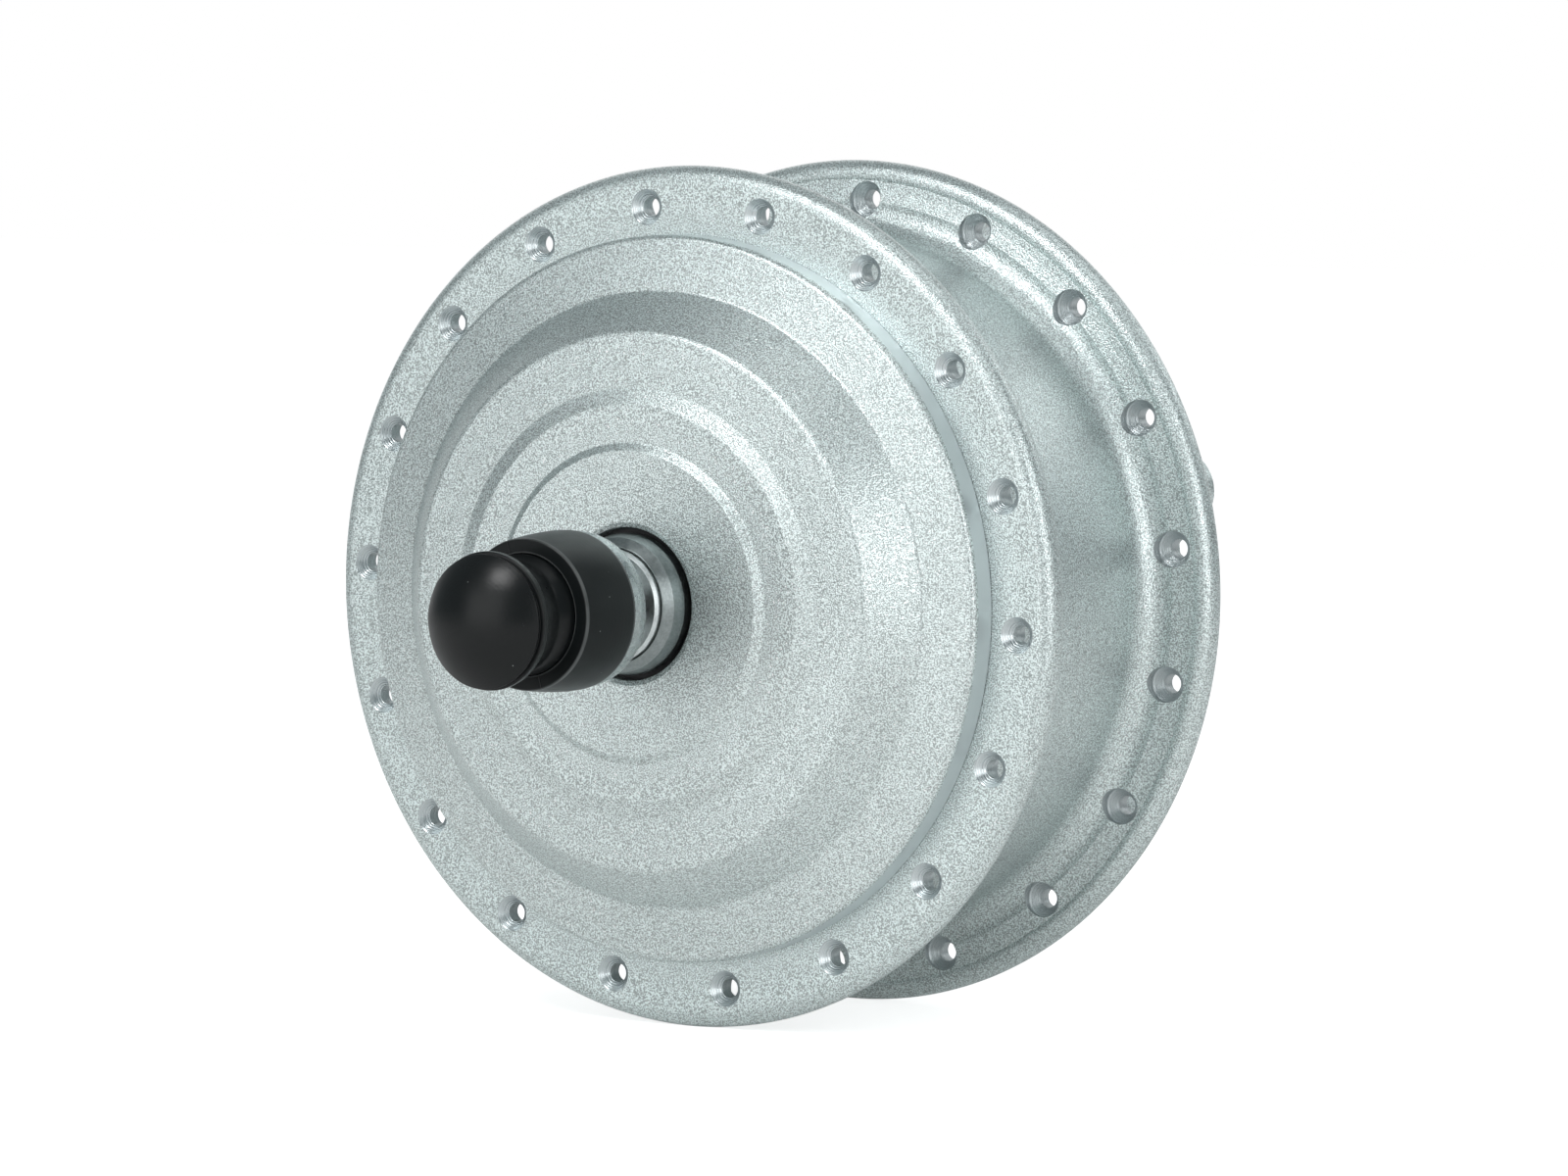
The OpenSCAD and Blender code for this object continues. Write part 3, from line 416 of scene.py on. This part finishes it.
# Spoke holes: each is drilled through a flange and countersunk from both sides after coating,
# so its walls are bare aluminium with the fine rings of the cutter.
cut_metal = Finish("cut_aluminium")
cutter_turn = cut_metal.node("ShaderNodeAttribute", {"attribute_name": "cut"}, out="Fac")
cutter_rings = cut_metal.node(
    "ShaderNodeTexNoise", {"noise_dimensions": "1D"}, {"W": cutter_turn, "Scale": 9.0, "Detail": 2.0}
)
cut_aluminium = cut_metal.surface(
    base_color=cut_metal.blend(cutter_rings, (0.36, 0.40, 0.41), (0.80, 0.85, 0.86)),
    metallic=1.0,
    roughness=cut_metal.between(cutter_rings, 0.3, 0.7, 0.22, 0.40),
    normal=cut_metal.bump(cutter_rings, 0.00008, 0.8),
)


def spoke_walls(name, start, side):
    """The walls of one flange's spoke holes, from the flat side to the barrel's side."""
    below = sorted((r, y - face_y) for r, y in flange_outline if r >= 57.6 and y > face_y + 4.5)
    r_inner, d_inner = (np.array(v) for v in zip(*below))
    points, faces, normals, cuts, n = [], [], [], [], 48
    for i in range(hole_count):
        middle = math.radians(start + 360 / hole_count * i)
        turn = np.linspace(0, 2 * math.pi, n, endpoint=False)
        across, out = np.sin(turn), np.cos(turn)
        top = (circle_r + out * 2.86 - 52) * 0.2 / 13
        reach = np.full(n, 2.0)
        for _ in range(40):
            reach = (reach + inner_edge(-hub_w / 2 + np.interp(circle_r + out * reach, r_inner, d_inner))) / 2
        depth = np.interp(circle_r + out * reach, r_inner, d_inner)
        step = np.minimum(depth, sink_low)
        bore = np.full(n, bore_r)
        stack = [(sink_top_r - top, top), (bore, sink_top_r - bore), (bore, sink_foot + bore),
                 (np.minimum(reach, step - sink_foot), step), (reach, np.maximum(depth, step))]
        lean = [(-0.7, -0.7), (-1.0, 0.0), (-0.7, 0.7), (-1.0, 0.0)]
        for k, (radial, along) in enumerate(lean):
            base = len(points)
            for r, d in stack[k:k + 2]:
                a = middle + across * r / circle_r
                away = circle_r + out * r
                points += list(np.stack([away * np.sin(a), side * (hub_w / 2 - d), away * np.cos(a)], 1))
                spread = out * radial
                normals += list(np.stack([
                    spread * math.sin(middle) + across * radial * math.cos(middle),
                    np.full(n, -side * along),
                    spread * math.cos(middle) - across * radial * math.sin(middle)], 1))
                cuts += list(r + d * 1.7)
            faces += [(base + j, base + (j + 1) % n, base + n + (j + 1) % n, base + n + j) for j in range(n)]
    piece = mesh_piece(name, (np.array(points), faces, np.array(normals), [0] * len(faces)),
                       "shell", "bare_aluminium", cut_aluminium)
    piece.data.attributes.new("cut", "FLOAT", "POINT").data.foreach_set("value", cuts)


spoke_walls("plain_side_spoke_holes", plain_start, -1)
spoke_walls("brake_side_spoke_holes", brake_start, 1)


# Plain cover: a turned dish of cast aluminium that screws into the shell and holds a bearing.
# Its faces are blasted and lacquered like the shell, and the wall of its rim is left as turned.
cover_coat = silver_lacquer("cover_lacquer", (0.61, 0.67, 0.665))
smooth_coat = Finish("turned_wall")
turned_streaks = smooth_coat.node(
    "ShaderNodeTexNoise", {"noise_dimensions": "1D"}, {"W": smooth_coat.place(1), "Scale": 9000.0, "Detail": 2.0}
)
turned_wall = smooth_coat.surface(
    base_color=smooth_coat.blend(turned_streaks, (0.62, 0.68, 0.69), (0.74, 0.79, 0.80)),
    metallic=0.85,
    roughness=smooth_coat.between(smooth_coat.noise(300.0), 0.3, 0.7, 0.30, 0.38),
    normal=smooth_coat.bump(turned_streaks, 0.00002, 0.4),
)
cover_outline = rolled([
    (11.9, -29.8, 0), (11.9, -41.65, 0.25), (12.7, -41.98, 0.3), (23.8, -42.0, 0.4), (25.0, -41.05, 0.5),
    (30.9, -40.9, 0.9), (33.5, -40.0, 0.9), (42.0, -39.4, 1.5), (48.3, -32.4, 1.0), (56.9, -30.66, 1.1),
    (56.9, -26.02, 0), (48.98, -26.02, 0), (48.98, -22.0, 0.3), (45.6, -22.0, 0), (45.6, -28.8, 1.0),
    (40.0, -35.8, 1.0), (18.2, -37.3, 0.5), (17.6, -29.8, 0), (14.02, -29.8, 0), (14.02, -39.8, 0),
    (11.92, -39.8, 0),
])[1:]
cover_piece = mesh_piece(
    "plain_cover_dish",
    turn_mesh(cover_outline, 288, marked=[(1, (56.8, 57.0, -29.7, -25.9))]),
    "shell", "painted_cover", cover_coat, turned_wall)
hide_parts("left_cover")


# Collars and inner washers: turned and zinc-plated steel rings that stand between bearing and fork.
# The plating is slightly cloudy and blue. The collars' plating is painted darker, as painted shade in the covers'
# holes, so the washer next to the fork shows brighter.
def zinc(name, colour, rough):
    """Zinc plating with a faint cloud and fine spots."""
    plate = Finish(name)
    cloud = plate.noise(700.0, 3.0, 0.55)
    spot = plate.noise(2600.0, 2.0, 0.5)
    return plate.surface(
        base_color=plate.blend(plate.between(cloud * 0.5 + spot * 0.5, 0.3, 0.7),
                               tuple(c * 0.84 for c in colour), tuple(min(1, c * 1.12) for c in colour)),
        metallic=1.0,
        roughness=plate.between(cloud, 0.3, 0.7, rough, rough + 0.08),
        normal=plate.bump(cloud * 0.6 + spot * 0.4, 0.00012, 0.5),
    )


# The collars' zinc is darker than the other zinc parts: painted shade for the hollow of the cover's hole where they
# sit.
shaded_zinc_plate = zinc("shaded_zinc_plate", (0.26, 0.29, 0.29), 0.30)
bright_zinc = zinc("bright_zinc", (0.62, 0.66, 0.66), 0.38)
for side, bearing, seat, swell, body_node in ((-1, -37.8, -46.6, -40.2, "left"), (1, 40.2, 53.4, 42.7, "right")):
    shoulder = 8.0 if side < 0 else 9.0
    front = seat - side * 2.3
    collar = mesh_piece(f"{body_node}_turned_collar", turn_mesh(rolled([
        (6.02, bearing, 0), (shoulder, bearing, 0), (shoulder, bearing + side * 0.6, 0),
        (10.5, bearing + side * 0.6, 0), (10.5, swell, 0.3), (11.05, swell + side * 0.7, 0.4),
        (11.05, front - side * 2.1, 0.9), (10.5, front, 0.35), (8.98, front + side * 1.5, 0.15),
        (8.98, front, 0), (6.02, front, 0),
    ]), 144), "axle_set", "zinc_steel", shaded_zinc_plate)
    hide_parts(f"{body_node}_collar")
    inner = mesh_piece(f"{body_node}_fork_washer", turn_mesh(rolled([
        (6.02, front, 0), (8.85, front, 0.1), (8.85, seat - side * 0.5, 0.15), (8.4, seat, 0.1), (6.02, seat, 0.2),
    ]), 144), "axle_set", "zinc_steel", bright_zinc)
    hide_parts(f"{body_node}_inner_washer")


# Outer axle washers: thick zinc-plated steel rings between the fork and the axle nuts.
# They are stamped from sheet, so the edge swells a little at its middle.
washer_plate = zinc("washer_zinc", (0.46, 0.50, 0.50), 0.24)
for side, seat, body_node in ((-1, -53.6, "left"), (1, 60.4, "right")):
    outer = mesh_piece(f"{body_node}_stamped_washer", turn_mesh(rolled([
        (6.02, seat, 0.1), (11.75, seat, 0.25), (12.15, seat + side * 1.9, 0.6), (11.8, seat + side * 3.6, 0.3),
        (6.02, seat + side * 3.6, 0.3),
    ]), 144), "axle_set", "zinc_steel", washer_plate)
    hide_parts(f"{body_node}_outer_washer")


# Threads: the axle's ends are rolled with a fine thread, then milled flat on two sides
# so that they fit the slots of a fork.
pitch, flat_x = 1.25, 5.03
thread_steel = zinc("thread_zinc", (0.66, 0.70, 0.70), 0.40)
for start, end, name in ((-53.5, -46.7, "left_fork"), (53.5, 60.3, "right_fork"), (74.1, 82.4, "right_end")):
    turns = int((end - start) / pitch)
    ridges = [(6.02 + 0.30 * (k % 2), start + 0.3 + k * pitch / 2, 0) for k in range(2 * turns)]
    thread = turn_mesh(rolled([(5.6, start, 0), (6.02, start, 0)] + ridges + [(6.02, end, 0), (5.6, end, 0)]), 96)
    thread[0][:, 0] = np.clip(thread[0][:, 0], -flat_x, flat_x)
    mesh_piece(f"{name}_thread", thread, "axle_set", "zinc_steel", thread_steel)


# Nut cap: a satin black plastic sleeve pushed over the left axle nut.
# It is moulded in two halves, so a fine seam runs over it, and pale rings along its edges are painted highlights.
def black_plastic(name, colour, rough, shine, seam_turn=None, edge_highlights=()):
    """Moulded black resin with dust specks, with a seam, and with painted highlights as pale rings along the edges
    where given.
    """
    resin = Finish(name)
    fine = resin.noise(1500.0, 3.0, 0.55)
    cloud = resin.noise(160.0, 3.0, 0.5)
    height = fine * 0.25
    x, y, z = (resin.place(axis) for axis in range(3))
    away = (x * x + z * z).root()
    if seam_turn is not None:
        off = abs(x * math.cos(seam_turn) - z * math.sin(seam_turn))
        height = height + resin.between(off, 0.00004, 0.00016, 3.0, 0.0)
    dust = resin.node("ShaderNodeTexVoronoi", {"feature": "F1"}, {"Vector": resin.place(), "Scale": 260.0}, out=0)
    pale = resin.between(dust, 0.018, 0.032, 0.7, 0.0)
    # The given edges get pale rings in the base colour: painted highlights, broken up by the cloud.
    for r, low, high, share in edge_highlights:
        ring = resin.between(abs(away - r), 0.00004, 0.00028, share, 0.0)
        near = resin.between(abs(y - (low + high) / 2), (high - low) / 2, (high - low) / 2 + 0.0002, 1.0, 0.0)
        pale = pale + ring * near * resin.between(cloud, 0.3, 0.6, 0.45, 1.0)
    return resin.surface(
        base_color=resin.blend(pale, colour, (0.30, 0.32, 0.32)),
        roughness=resin.between(cloud, 0.3, 0.7, rough, rough + 0.06),
        specular_ior_level=shine,
        normal=resin.bump(height, 0.00005, 0.6),
    )


# Painted highlights: pale rings on the sleeve's front edge, on its mouth and on its rear edge.
cap_resin = black_plastic(
    "satin_black_plastic", (0.0055, 0.0072, 0.0076), 0.30, 0.20, math.radians(-16),
    [(0.0117, -0.0694, -0.0688, 0.30), (0.0095, -0.0694, -0.0686, 0.28), (0.0123, -0.0577, -0.0571, 0.3)])
barrel_line = [(11.72 + 0.68 * math.sin(math.pi * 0.60 * t), -68.9 + 11.2 * t, 0) for t in np.linspace(0, 1, 13)]
cap_piece = mesh_piece("nut_cap_sleeve", turn_mesh(rolled(
    [(9.41, -67.6, 0), (9.41, -69.22, 0.12), (9.75, -69.3, 0.1), (11.66, -69.3, 0.32)] + barrel_line
    + [(12.3, -57.2, 0.2), (10.75, -57.2, 0.15), (10.75, -67.6, 0.3)]), 192),
    "cap", "cap_plastic", cap_resin)
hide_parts("nut_cap")


# Axle plug: a soft black rubber stopper with a domed head and a lip to pull it off by.
# Its neck sits in the cap's mouth, where it droops a little, and covers the end of the axle.
plug_rubber = black_plastic("soft_black_rubber", (0.0040, 0.0052, 0.0056), 0.27, 0.28)
dome_r, dome_top, lip_r = 15.6, -83.0, 10.6
dome_line = [(dome_r * math.sin(a), dome_top + dome_r * (1 - math.cos(a)), 0)
             for a in np.linspace(0, math.asin(10.25 / dome_r), 20)]
stopper = turn_mesh(rolled(
    dome_line + [(10.45, -79.0, 0.15), (9.95, -78.75, 0.1), (9.95, -78.2, 0.1), (lip_r, -78.1, 0.18),
                 (lip_r, -77.0, 0.35), (9.3, -76.5, 0.5), (8.7, -75.6, 0.8), (8.7, -72.0, 2.5),
                 (9.3, -69.9, 1.0), (9.3, -67.7, 0.1), (6.4, -67.7, 0), (6.4, -76.9, 0.5), (0.0, -77.0, 0)]), 192)
droop = np.clip(-69.0 - stopper[0][:, 1], 0, None) * math.tan(math.radians(5.2))
stopper[0][:, 0] -= droop * 0.80
stopper[0][:, 2] -= droop * 0.60
plug_piece = mesh_piece("rubber_stopper", stopper, "plug", "plug_rubber", plug_rubber)
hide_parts("axle_plug")


# Every other part keeps its solid. Steel parts are ground, hardened or turned, the rotor is
# lacquered, and each finish below has the grain that its making leaves on it.
def plain_metal(name, colour, rough, scale, contrast=0.15, along=None):
    """Bare metal with an even grain, or with rings across one axis where it was turned."""
    metal = Finish(name)
    grain = metal.noise(scale, 3.0) if along is None else metal.node(
        "ShaderNodeTexNoise", {"noise_dimensions": "1D"}, {"W": metal.place(along), "Scale": scale, "Detail": 3.0})
    return metal.surface(
        base_color=metal.blend(grain, tuple(c * (1 - contrast) for c in colour),
                               tuple(min(1, c * (1 + contrast)) for c in colour)),
        metallic=1.0,
        roughness=metal.between(grain, 0.3, 0.7, rough - 0.05, rough + 0.06),
        normal=metal.bump(grain, 0.00003, 0.4),
    )


def dress(material, *names):
    """Give solids of the frame a material, and leave their shape alone."""
    for name in names:
        mesh = nodes[name].data
        mesh.materials.clear()
        mesh.materials.append(material)


dress(shell_coat, "right_cover")
dress(plain_metal("ground_steel", (0.62, 0.64, 0.65), 0.22, 5000.0, 0.12, 1),
      "left_bearing_outer", "right_bearing_outer", "left_bearing_inner", "right_bearing_inner",
      "rotor_bearing_inner", "rotor_bearing_outer", "left_bearing_balls", "right_bearing_balls",
      "rotor_bearing_balls")
dress(plain_metal("hardened_steel", (0.30, 0.31, 0.32), 0.34, 900.0, 0.2),
      "ring_gear", "sun_gear", "clutch_race", "clutch_rollers", "planet_carrier", "planet_pins",
      "pin_clips", "axle_key")
dress(plain_metal("cast_aluminium", (0.66, 0.68, 0.69), 0.42, 700.0, 0.12), "stator_hub", "rotor_hub")
dress(plain_metal("axle_steel", (0.58, 0.60, 0.61), 0.28, 7000.0, 0.16, 1), "axle")
dress(zinc("nut_zinc", (0.66, 0.70, 0.71), 0.30), "left_axle_nut", "right_axle_nut")
dress(plain_metal("black_screw", (0.12, 0.12, 0.125), 0.36, 1800.0, 0.2), "cover_screws")
dress(plain_metal("rotor_steel", (0.45, 0.47, 0.48), 0.36, 5000.0, 0.15, 1), "rotor_can")
dress(plain_metal("magnet_nickel", (0.50, 0.50, 0.49), 0.25, 1200.0, 0.12), "rotor_magnets")
dress(plain_metal("bush_bronze", (0.52, 0.34, 0.15), 0.35, 900.0, 0.15),
      "planet_bush_1", "planet_bush_2", "planet_bush_3")

nylon = Finish("gear_nylon")
nylon_cloud = nylon.noise(220.0, 3.0)
dress(nylon.surface(base_color=nylon.blend(nylon_cloud, (0.72, 0.69, 0.58), (0.80, 0.77, 0.67)),
                    roughness=nylon.between(nylon_cloud, 0.3, 0.7, 0.38, 0.48),
                    normal=nylon.bump(nylon_cloud, 0.00006, 0.4)),
      "planet_gear_1", "planet_gear_2", "planet_gear_3", "stator_insulators")

wire = Finish("enamelled_copper")
wire_away = (wire.place(0) * wire.place(0) + wire.place(2) * wire.place(2)).root()
# The copper is painted darker in the grooves between the turns: painted shade.
wire_turns_shade = abs((wire_away * (math.pi / 0.0007)).sine())
dress(wire.surface(base_color=wire.blend(wire_turns_shade, (0.20, 0.07, 0.02), (0.75, 0.33, 0.12)),
                   metallic=0.75, roughness=wire.between(wire.noise(700.0), 0.3, 0.7, 0.28, 0.40),
                   normal=wire.bump(wire_turns_shade, 0.0002, 0.9)), "stator_windings")

sheets = Finish("core_sheets")
sheet_edge = abs((sheets.place(1) * (math.pi / 0.0005)).sine())
dress(sheets.surface(base_color=sheets.blend(sheet_edge, (0.10, 0.11, 0.13), (0.34, 0.36, 0.40)),
                     metallic=0.9, roughness=sheets.between(sheets.noise(900.0), 0.3, 0.7, 0.34, 0.46),
                     normal=sheets.bump(sheet_edge, 0.00008, 0.7)), "stator_core")

board = Finish("hall_board_lacquer")
board_mottle = board.noise(900.0, 3.0)
dress(board.surface(base_color=board.blend(board_mottle, (0.010, 0.085, 0.035), (0.020, 0.135, 0.055)),
                    roughness=board.between(board_mottle, 0.3, 0.7, 0.24, 0.36),
                    normal=board.bump(board_mottle, 0.00004, 0.4)), "hall_board")

seal_skin = Finish("seal_rubber")
seal_mottle = seal_skin.noise(1100.0, 3.0)
dress(seal_skin.surface(base_color=seal_skin.blend(seal_mottle, (0.008, 0.008, 0.009), (0.020, 0.021, 0.022)),
                        roughness=seal_skin.between(seal_mottle, 0.3, 0.7, 0.48, 0.60),
                        normal=seal_skin.bump(seal_mottle, 0.00006, 0.5)),
      "left_seal", "right_seal", "cover_gasket")
